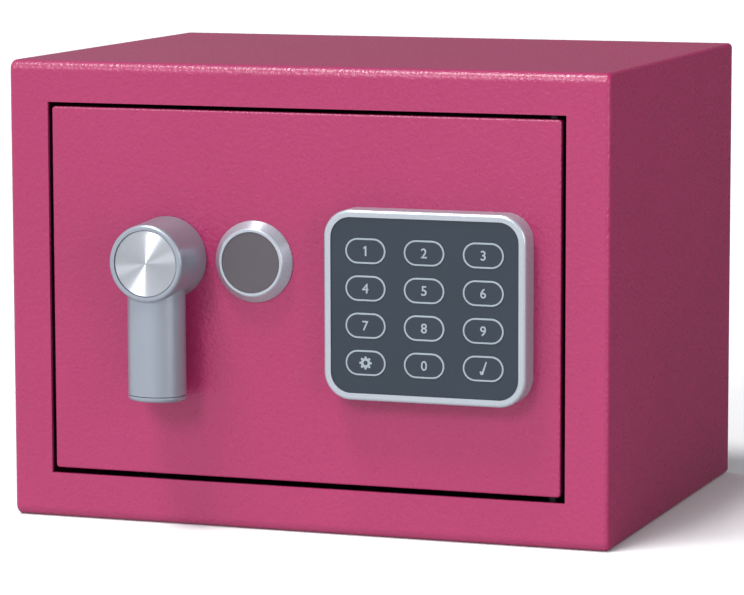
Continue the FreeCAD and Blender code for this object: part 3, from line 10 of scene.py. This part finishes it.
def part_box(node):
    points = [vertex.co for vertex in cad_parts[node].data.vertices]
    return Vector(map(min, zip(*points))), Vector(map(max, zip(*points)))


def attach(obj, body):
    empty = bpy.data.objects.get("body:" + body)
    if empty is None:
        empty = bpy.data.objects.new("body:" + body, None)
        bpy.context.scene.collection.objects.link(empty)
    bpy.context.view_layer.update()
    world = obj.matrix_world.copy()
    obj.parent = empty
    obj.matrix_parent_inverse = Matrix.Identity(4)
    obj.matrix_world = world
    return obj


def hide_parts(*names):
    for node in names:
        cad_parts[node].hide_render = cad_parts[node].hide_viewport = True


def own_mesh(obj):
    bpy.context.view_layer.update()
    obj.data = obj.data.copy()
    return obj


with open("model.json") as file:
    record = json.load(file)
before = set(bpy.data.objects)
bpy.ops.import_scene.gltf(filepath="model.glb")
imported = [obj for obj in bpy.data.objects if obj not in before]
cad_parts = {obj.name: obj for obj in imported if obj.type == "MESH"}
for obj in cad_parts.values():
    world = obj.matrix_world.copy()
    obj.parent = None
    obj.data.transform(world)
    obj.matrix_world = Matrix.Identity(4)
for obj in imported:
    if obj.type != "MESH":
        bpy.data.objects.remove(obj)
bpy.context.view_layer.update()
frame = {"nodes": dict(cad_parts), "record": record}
NODES = frame["nodes"]
MM = 0.001


# ---------------------------------------------------------------- camera

def look_from(place, yaw, pitch, roll, lens):
    """A camera that looks along +Y, turned left by yaw, down by pitch, and rolled. Radians."""
    data = bpy.data.cameras.new("camera")
    data.lens = lens
    data.clip_start = 0.05
    data.clip_end = 60
    cam = bpy.data.objects.new("camera", data)
    bpy.context.scene.collection.objects.link(cam)
    turn = Matrix.Rotation(yaw, 4, "Z") @ Matrix.Rotation(math.pi / 2 - pitch, 4, "X")
    cam.matrix_world = Matrix.Translation(place) @ turn @ Matrix.Rotation(roll, 4, "Z")
    bpy.context.scene.camera = cam


look_from(place=(0.4750, -1.3454, 0.2634), yaw=0.3419, pitch=0.1312, roll=-0.0024, lens=183.7)


# ---------------------------------------------------------------- light

def aimed_at(obj, place, target):
    """Puts a light in the scene, shining from its place toward the target."""
    obj.location = place
    obj.rotation_mode = "QUATERNION"
    obj.rotation_quaternion = (Vector(target) - Vector(place)).to_track_quat("-Z", "Y")
    bpy.context.scene.collection.objects.link(obj)


def softbox(name, place, target, width, height, power):
    """A rectangular area light that the camera doesn't see. Watts."""
    data = bpy.data.lights.new(name, "AREA")
    data.shape = "RECTANGLE"
    data.size = width
    data.size_y = height
    data.energy = power
    light = bpy.data.objects.new(name, data)
    light.visible_camera = False
    aimed_at(light, place, target)


def sun(name, direction, strength, angle):
    """Parallel light along a direction, softened by the angle in degrees."""
    data = bpy.data.lights.new(name, "SUN")
    data.energy = strength
    data.angle = math.radians(angle)
    aimed_at(bpy.data.objects.new(name, data), -Vector(direction) * 3, (0, 0, 0))


def studio_walls(strength, dark, toward):
    """A world that is white on one side of the studio and dim on the other."""
    world = bpy.data.worlds.new("studio")
    world.use_nodes = True
    tree = world.node_tree
    back = tree.nodes["Background"]
    back.inputs["Color"].default_value = (0.94, 0.97, 1, 1)
    where = tree.nodes.new("ShaderNodeTexCoord").outputs["Generated"]
    along = tree.nodes.new("ShaderNodeVectorMath")
    along.operation = "DOT_PRODUCT"
    along.inputs[1].default_value = toward
    tree.links.new(where, along.inputs[0])
    ramp = tree.nodes.new("ShaderNodeMapRange")
    ramp.interpolation_type = "SMOOTHSTEP"
    limits = {"From Min": -0.55, "From Max": 0.9, "To Min": dark, "To Max": strength}
    for socket, value in limits.items():
        ramp.inputs[socket].default_value = value
    tree.links.new(along.outputs["Value"], ramp.inputs["Value"])
    tree.links.new(ramp.outputs["Result"], back.inputs["Strength"])
    bpy.context.scene.world = world


studio_walls(1.0, 0.1, (-0.7, -0.65, 0.12))
sun("key", (0.17, 0.83, -0.52), 1.35, 18)
sun("overhead", (0.2, 0.28, -0.93), 2.4, 16)
softbox("right_fill", (1.35, -0.9, 0.45), (0.1, 0, 0.08), 0.8, 0.8, 9)
softbox("rear_sheen", (-0.9, 2.4, 0.62), (0, 0, 0.17), 2.2, 1.0, 0.5)
bpy.context.scene.view_settings.view_transform = "Standard"


# ---------------------------------------------------------------- materials

def linear(red, green, blue):
    """Linear colour from display values of 0 to 255."""
    def one(value):
        value /= 255
        return value / 12.92 if value <= 0.04045 else ((value + 0.055) / 1.055) ** 2.4
    return (one(red), one(green), one(blue), 1)


def shade(color, factor):
    """The colour made darker or lighter by a factor."""
    return tuple(c * factor for c in color[:3]) + (1,)


class Finish:
    """A material being built: a Principled shader and whatever feeds it."""

    def __init__(self, name, color, **settings):
        self.material = bpy.data.materials.new(name)
        self.material.use_nodes = True
        self.tree = self.material.node_tree
        self.shader = self.tree.nodes["Principled BSDF"]
        self.shader.inputs["Base Color"].default_value = color
        for socket, value in settings.items():
            self.shader.inputs[socket.replace("_", " ")].default_value = value
        self.coords = self.add("ShaderNodeTexCoord").outputs["Object"]
        self.normal = None

    def add(self, kind, **settings):
        made = self.tree.nodes.new(kind)
        for key, value in settings.items():
            setattr(made, key, value)
        return made

    def link(self, source, target):
        self.tree.links.new(source, target)

    def noise(self, scale, detail=2.0, roughness=0.5, stretch=None):
        """Noise over the piece; scale is in lumps per metre."""
        made = self.add("ShaderNodeTexNoise")
        made.inputs["Scale"].default_value = scale
        made.inputs["Detail"].default_value = detail
        made.inputs["Roughness"].default_value = roughness
        source = self.coords
        if stretch:
            mapping = self.add("ShaderNodeMapping")
            mapping.inputs["Scale"].default_value = stretch
            self.link(source, mapping.inputs["Vector"])
            source = mapping.outputs["Vector"]
        self.link(source, made.inputs["Vector"])
        return made.outputs["Fac"]

    def turned(self):
        """Object coordinates turned so that X and Z lie across a texture's plane."""
        mapping = self.add("ShaderNodeMapping")
        mapping.inputs["Rotation"].default_value = (math.pi / 2, 0, 0)
        self.link(self.coords, mapping.inputs["Vector"])
        return mapping.outputs["Vector"]

    def spread(self, factor, low, high, start=0.3, end=0.7):
        """Maps a factor from start..end to low..high."""
        made = self.add("ShaderNodeMapRange")
        pairs = zip(("From Min", "From Max", "To Min", "To Max"), (start, end, low, high))
        for socket, value in pairs:
            made.inputs[socket].default_value = value
        self.link(factor, made.inputs["Value"])
        return made.outputs["Result"]

    def blend(self, factor, first, second):
        """Mixes two colours, or a colour and another node's output, by a factor."""
        made = self.add("ShaderNodeMix", data_type="RGBA")
        self.link(factor, made.inputs["Factor"])
        for name, value in (("A", first), ("B", second)):
            socket = next(i for i in made.inputs if i.name == name and i.type == "RGBA")
            if isinstance(value, tuple):
                socket.default_value = value
            else:
                self.link(value, socket)
        return next(o for o in made.outputs if o.type == "RGBA")

    def color(self, source):
        self.link(source, self.shader.inputs["Base Color"])

    def rough(self, source):
        self.link(source, self.shader.inputs["Roughness"])

    def bump(self, height, strength, distance):
        """Adds a layer of relief; distance is in metres."""
        made = self.add("ShaderNodeBump")
        made.inputs["Strength"].default_value = strength
        made.inputs["Distance"].default_value = distance
        self.link(height, made.inputs["Height"])
        if self.normal:
            self.link(self.normal, made.inputs["Normal"])
        self.normal = made.outputs["Normal"]
        self.link(self.normal, self.shader.inputs["Normal"])


def powder_coat(name, color, rough=0.3, grain=760, relief=1.0):
    """Baked powder paint: soft gloss over an orange peel."""
    f = Finish(name, color)
    f.color(f.blend(f.spread(f.noise(22, 3), 0, 1), shade(color, 0.95), color))
    f.rough(f.spread(f.noise(grain * 0.6, 2), rough - 0.04, rough + 0.06))
    f.bump(f.noise(grain, 2, 0.5), relief, 0.00025)
    f.bump(f.noise(grain * 2.6, 1), relief * 0.5, 0.00003)
    return f.material


def satin_metal(name, color, rough, metallic, grain=3500, relief=0.06):
    """Silver lacquer or blasted metal with a very fine grain."""
    f = Finish(name, color, Metallic=metallic)
    f.color(f.blend(f.noise(60, 3), shade(color, 0.94), color))
    f.rough(f.spread(f.noise(grain, 2), rough - 0.04, rough + 0.05))
    f.bump(f.noise(grain, 2), relief, 0.00005)
    return f.material


def machined(name, color, rough, stretch, scale=2500):
    """Turned or drawn metal, with fine lines along the axes where stretch is small."""
    f = Finish(name, color, Metallic=1.0)
    lines = f.noise(scale, 3, 0.6, stretch)
    f.color(f.blend(f.spread(lines, 0, 1), shade(color, 0.82), color))
    f.rough(f.spread(lines, rough - 0.05, rough + 0.08))
    f.bump(lines, 0.15, 0.00004)
    return f.material


def spun(name, color, rough, around):
    """Metal spun in rings round an axis, which gives it bright wedges."""
    f = Finish(name, color, Metallic=1.0, Anisotropic=1.0)
    f.shader.inputs["Anisotropic Rotation"].default_value = 0.25
    tangent = f.add("ShaderNodeTangent", direction_type="RADIAL", axis=around)
    f.link(tangent.outputs["Tangent"], f.shader.inputs["Tangent"])
    f.rough(f.spread(f.noise(1500, 2), rough - 0.02, rough + 0.03))
    f.color(f.blend(f.noise(500, 2), shade(color, 0.93), color))
    return f.material


def moulded(name, color, rough, grain=2200, relief=0.2, **settings):
    """Moulded plastic or rubber with a spark-eroded grain."""
    f = Finish(name, color, **settings)
    f.color(f.blend(f.spread(f.noise(45, 3), 0, 1), shade(color, 0.91), color))
    f.rough(f.spread(f.noise(grain * 0.5, 2), rough - 0.05, rough + 0.05))
    f.bump(f.noise(grain, 2), relief, 0.00006)
    return f.material


def wound(name, color, pitch):
    """Enamelled wire wound in close turns up a coil, with painted shade in the grooves between the
    turns.
    """
    f = Finish(name, color, Metallic=0.6)
    wave = f.add("ShaderNodeTexWave", bands_direction="Z")
    wave.inputs["Scale"].default_value = math.pi / 10 / pitch
    f.link(f.coords, wave.inputs["Vector"])
    turns = wave.outputs["Fac"]
    # painted shade: the colour drops to under half in the grooves between the turns
    f.color(f.blend(turns, shade(color, 0.45), color))
    f.rough(f.spread(f.noise(800), 0.3, 0.42))
    f.bump(turns, 0.8, 0.0002)
    return f.material


def felt(name, color):
    """Needled felt: a matt pile of short fibres."""
    f = Finish(name, color, **{"Sheen Weight": 0.2, "Sheen Roughness": 0.5})
    fibres = f.noise(2400, 4, 0.75)
    f.color(f.blend(f.spread(fibres, 0, 1), shade(color, 0.45), shade(color, 1.4)))
    f.rough(f.spread(f.noise(300), 0.9, 1.0))
    f.bump(fibres, 1.0, 0.0005)
    f.bump(f.noise(160, 2), 0.6, 0.0012)
    return f.material


def circuit_board(name, color):
    """Solder mask with the copper under it showing as lighter lines."""
    f = Finish(name, color, **{"Coat Weight": 0.4})
    tracks = f.add("ShaderNodeTexBrick", offset=0.37)
    tracks.inputs["Scale"].default_value = 170
    tracks.inputs["Mortar Size"].default_value = 0.03
    f.link(f.turned(), tracks.inputs["Vector"])
    f.color(f.blend(tracks.outputs["Fac"], color, shade(color, 1.9)))
    f.rough(f.spread(f.noise(300), 0.3, 0.42))
    f.bump(tracks.outputs["Fac"], 0.4, 0.00005)
    return f.material


PINK = linear(150, 39, 85)
SILVER = linear(152, 158, 169)
MATERIALS = {
    "case_paint": powder_coat("case_paint", PINK),
    "cover_paint": powder_coat("cover_paint", linear(40, 40, 43), 0.5, 1200, 0.6),
    "zinc_sheet": machined("zinc_sheet", linear(190, 192, 195), 0.36, (1, 1, 0.05), 900),
    "bush_brass": machined("bush_brass", linear(206, 170, 104), 0.3, (1, 1, 0.2)),
    "pin_steel": machined("pin_steel", linear(52, 50, 54), 0.4, (1, 1, 0.1)),
    "bolt_steel": machined("bolt_steel", linear(205, 206, 208), 0.2, (0.06, 1, 1)),
    "screw_steel": machined("screw_steel", linear(186, 186, 190), 0.32, (1, 1, 1)),
    "spring_steel": machined("spring_steel", linear(190, 190, 195), 0.25, (1, 1, 1)),
    "mat_fabric": felt("mat_fabric", linear(50, 50, 54)),
    "coil_winding": wound("coil_winding", linear(190, 110, 44), 0.0004),
    "lock_chrome": machined("lock_chrome", linear(208, 209, 212), 0.16, (1, 0.2, 1)),
    "board_green": circuit_board("board_green", linear(30, 92, 52)),
    "black_plastic": moulded("black_plastic", linear(36, 36, 38), 0.5, 1600, 0.35),
    "battery_sleeve": moulded("battery_sleeve", linear(40, 46, 66), 0.3, 500, 0.05),
    "housing_silver": satin_metal("housing_silver", linear(176, 182, 190), 0.3, 0.55),
    "faceplate_slate": moulded("faceplate_slate", linear(30, 42, 54), 0.38, 3000, 0.08),
    "silicone_rubber": moulded("silicone_rubber", linear(90, 94, 98), 0.7),
    "cable_sheath": moulded("cable_sheath", linear(28, 28, 30), 0.55),
    "handle_silver": satin_metal("handle_silver", SILVER, 0.34, 0.6),
    "spun_disc": spun("spun_disc", linear(216, 219, 226), 0.4, "Y"),
    "cap_chrome": satin_metal("cap_chrome", linear(180, 185, 194), 0.3, 0.6),
    "badge_grey": satin_metal("badge_grey", linear(84, 78, 84), 0.45, 0.3),
    "button_red": moulded("button_red", linear(178, 32, 28), 0.4),
    "key_slate": moulded("key_slate", linear(30, 42, 54), 0.38, 3000, 0.08),
    "key_print": moulded("key_print", linear(138, 149, 158), 0.5, 3000, 0.05),
}
for entry in frame["record"]["subparts"]:
    for slot in NODES[entry["node"]].material_slots:
        slot.material = MATERIALS[entry["material_slot"]]


# ---------------------------------------------------------------- pieces

def piece(name, mesh, body, slot, finish=None):
    """An object with that mesh, riding a body, finished as a slot or as another material."""
    obj = bpy.data.objects.new(name, mesh)
    bpy.context.scene.collection.objects.link(obj)
    mesh.materials.clear()
    mesh.materials.append(MATERIALS[finish or slot])
    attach(obj, body)
    return obj


def mesh_of(name, points, faces, smooth=True):
    """A mesh with its faces turned outward, shaded smooth or flat."""
    mesh = bpy.data.meshes.new(name)
    mesh.from_pydata([tuple(p) for p in points], [], faces)
    work = bmesh.new()
    work.from_mesh(mesh)
    bmesh.ops.recalc_face_normals(work, faces=work.faces)
    work.to_mesh(mesh)
    work.free()
    if smooth:
        mesh.shade_smooth()
        mesh.set_sharp_from_angle(angle=math.radians(40))
    else:
        mesh.shade_flat()
    return mesh


def stadium(half_run, radius, steps=16):
    """Outline of a slot in X and Z, anticlockwise."""
    around = []
    for side, start in ((1, -90), (-1, 90)):
        for i in range(steps + 1):
            a = math.radians(start + 180 * i / steps)
            around.append((side * half_run + radius * math.cos(a), radius * math.sin(a)))
    return around


def ring_strip(rings, closed):
    """Faces that join rings of equal length, one after the next."""
    count = len(rings[0])
    faces = []
    for k in range(len(rings) if closed else len(rings) - 1):
        a, b = k * count, (k + 1) % len(rings) * count
        for i in range(count):
            j = (i + 1) % count
            faces.append((a + i, a + j, b + j, b + i))
    return faces


def slab(outline, front, back):
    """Points and faces of a flat shape between two depths."""
    count = len(outline)
    points = [(x, y, z) for y in (front, back) for x, z in outline]
    faces = [tuple(range(count)), tuple(range(count, 2 * count))]
    faces += [(i, (i + 1) % count, (i + 1) % count + count, i + count) for i in range(count)]
    return points, faces


def joined(shapes):
    """Points and faces of several shapes as one."""
    points, faces = [], []
    for more_points, more_faces in shapes:
        faces += [tuple(i + len(points) for i in face) for face in more_faces]
        points += more_points
    return points, faces


# ---------------------------------------------------------------- key legends

LEGENDS = {f"key_{n}": str(n) for n in range(10)}
PRINT_HIGH = 0.05 * MM
PRINT_BACK = 0.06 * MM
PRINT_STEP = 0.003 * MM
DIGIT_HIGH = 3.5 * MM


def key_border(node):
    """The light raised line round a key: a ring that wraps the key's edge."""
    low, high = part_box(node)
    mid_x, mid_z = (low.x + high.x) / 2, (low.z + high.z) / 2
    radius = (high.z - low.z) / 2
    half_run = (high.x - low.x) / 2 - radius
    top = PRINT_HIGH / MM
    profile = [(0.0, -0.5), (0.0, -0.06), (0.06, top), (0.60, top), (0.66, -0.1)]
    rings = []
    for inset, height in profile:
        outline = stadium(half_run, radius - inset * MM)
        rings.append([(mid_x + x, low.y - height * MM, mid_z + z) for x, z in outline])
    mesh = mesh_of(f"{node}_border", sum(rings, []), ring_strip(rings, False))
    piece(f"{node}_border", mesh, node, "key_slate", "key_print")


def text_mesh(name, text, height):
    """A number as a mesh in X and Z, centred, facing -Y with its front at 0."""
    curve = bpy.data.curves.new(name, "FONT")
    curve.body = text
    curve.extrude = 0.02
    curve.offset = 0.012
    curve.resolution_u = 6
    maker = bpy.data.objects.new(name, curve)
    mesh = bpy.data.meshes.new_from_object(maker)
    bpy.data.objects.remove(maker)
    bpy.data.curves.remove(curve)
    xs = [v.co.x for v in mesh.vertices]
    zs = [v.co.y for v in mesh.vertices]
    scale = height / (max(zs) - min(zs))
    mid = Vector(((max(xs) + min(xs)) / 2, (max(zs) + min(zs)) / 2, 0))
    upright = Matrix.Rotation(math.pi / 2, 4, "X") @ Matrix.Scale(scale, 4)
    mesh.transform(upright @ Matrix.Translation(-mid))
    return mesh


def gear(teeth, outer, inner, hole):
    """A cog with a round hole, as front and back rings joined to the hole's edge."""
    outside, inside = [], []
    for i in range(teeth):
        for share, radius in ((-0.32, inner), (-0.2, outer), (0.2, outer), (0.32, inner)):
            a = 2 * math.pi * (i + share) / teeth
            outside.append((radius * math.cos(a), radius * math.sin(a)))
            inside.append((hole * math.cos(a), hole * math.sin(a)))
    rings = [[(x, y, z) for x, z in ring] for ring, y in ((outside, 0), (inside, 0))]
    back = [[(x, PRINT_BACK, z) for x, _, z in ring] for ring in rings]
    order = [rings[0], rings[1], back[1], back[0]]
    return sum(order, []), ring_strip(order, True)


def stroke(path, front=0.0):
    """A pen line through points (x, z, width) in millimetres, as one slab for each run."""
    shapes = []
    for (x0, z0, w0), (x1, z1, w1) in zip(path, path[1:]):
        run = Vector((x1 - x0, z1 - z0)).normalized()
        side = Vector((-run.y, run.x)) / 2
        corners = [
            (x0 + side.x * w0, z0 + side.y * w0), (x0 - side.x * w0, z0 - side.y * w0),
            (x1 - side.x * w1, z1 - side.y * w1), (x1 + side.x * w1, z1 + side.y * w1),
        ]
        shapes.append(slab([(x * MM, z * MM) for x, z in corners], front, PRINT_BACK))
        front -= PRINT_STEP
    return joined(shapes)


def legend(node, mesh):
    """Lays a digit or sign in the middle of its key's face."""
    low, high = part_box(node)
    place = Vector(((low.x + high.x) / 2, low.y - PRINT_HIGH * 0.6, (low.z + high.z) / 2))
    mesh.transform(Matrix.Translation(place))
    piece(f"{node}_legend", mesh, node, "key_slate", "key_print")


ONE_FLAG = [(-0.75, 0.85, 0.4), (0.05, 1.6, 0.5)]
ONE_STEM = [(0.12, 1.75, 0.62), (0.12, -1.75, 0.62)]
TICK = [(-1.1, -1.0, 0.62), (-0.42, -2.1, 0.75), (1.2, 2.5, 0.45)]
for key, digit in LEGENDS.items():
    key_border(key)
    if digit == "1":
        strokes = joined([stroke(ONE_FLAG), stroke(ONE_STEM, -PRINT_STEP)])
        legend(key, mesh_of("one", *strokes, smooth=False))
    else:
        legend(key, text_mesh(f"{key}_legend", digit, DIGIT_HIGH))
key_border("key_set")
legend("key_set", mesh_of("gear", *gear(8, 2.35 * MM, 1.75 * MM, 0.8 * MM), smooth=False))
key_border("key_enter")
legend("key_enter", mesh_of("tick", *stroke(TICK), smooth=False))


# ---------------------------------------------------------------- floor mat

def floor_mat():
    """The felt mat, as a sheet with a soft, slightly uneven pile and rounded edges."""
    low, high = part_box("floor_mat")
    mesh = NODES["floor_mat"].data.copy()
    mat = bpy.data.objects.new("felt_mat", mesh)
    bpy.context.scene.collection.objects.link(mat)
    remesh = mat.modifiers.new("even", "REMESH")
    remesh.mode = "VOXEL"
    remesh.voxel_size = 0.0011
    made = bpy.data.meshes.new_from_object(mat.evaluated_get(bpy.context.evaluated_depsgraph_get()))
    bpy.data.objects.remove(mat)
    broad, fine = 45, 420  # lumps per metre
    for v in made.vertices:
        lift = noise.noise(v.co * broad) * 0.10 * MM + noise.noise(v.co * fine) * 0.08 * MM
        if v.co.z > (low.z + high.z) / 2:
            v.co.z = min(v.co.z - 0.2 * MM + lift, high.z)
        for axis in (0, 1):
            v.co[axis] = min(max(v.co[axis], low[axis]), high[axis])
        v.co.z = max(v.co.z, low.z)
    made.shade_smooth()
    sheet = piece("felt_mat", made, "case", "mat_fabric")
    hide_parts("floor_mat")


floor_mat()


# ---------------------------------------------------------------- solenoid spring

def plunger_spring():
    """The wire spring under the clip ring, closed at both ends."""
    low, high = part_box("plunger_spring")
    wire = 0.4 * MM
    radius = (high.x - low.x) / 2 - wire
    mid = (low + high) / 2
    turns, closed, steps, sides = 5.5, 0.75, 30, 10
    closed_pitch = 2 * wire
    open_turns = turns - 2 * closed
    open_pitch = (high.z - low.z - 2 * wire - 2 * closed * closed_pitch) / open_turns
    rings = []
    for k in range(int(turns * steps) + 1):
        turn = k / steps
        opened = min(max(turn - closed, 0), open_turns)
        z = low.z + wire + open_pitch * opened + closed_pitch * (turn - opened)
        a = 2 * math.pi * turn
        out = Vector((math.cos(a), math.sin(a), 0))
        centre = Vector((mid.x, mid.y, z)) + out * radius
        rings.append([
            centre + wire * (out * math.cos(b) + Vector((0, 0, 1)) * math.sin(b))
            for b in (2 * math.pi * i / sides for i in range(sides))
        ])
    faces = ring_strip(rings, False)
    faces += [tuple(range(sides)), tuple(range(len(rings) * sides - sides, len(rings) * sides))]
    spring = piece("plunger_coil_spring", mesh_of("plunger_spring", sum(rings, []), faces), "door",
                   "spring_steel")
    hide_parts("plunger_spring")
    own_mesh(spring)


plunger_spring()


# ---------------------------------------------------------------- stage

floor_mesh = bpy.data.meshes.new("floor")
half = 12
corners = [(-half, -half, 0), (half, -half, 0), (half, half, 0), (-half, half, 0)]
floor_mesh.from_pydata(corners, [], [(0, 1, 2, 3)])
floor = bpy.data.objects.new("floor", floor_mesh)
bpy.context.scene.collection.objects.link(floor)
pale = Finish("floor_pale", (0.8, 0.8, 0.81, 1), Roughness=0.9)
pale.color(pale.blend(pale.noise(3), (0.79, 0.79, 0.80, 1), (0.81, 0.81, 0.82, 1)))
floor_mesh.materials.append(pale.material)
floor.visible_glossy = False
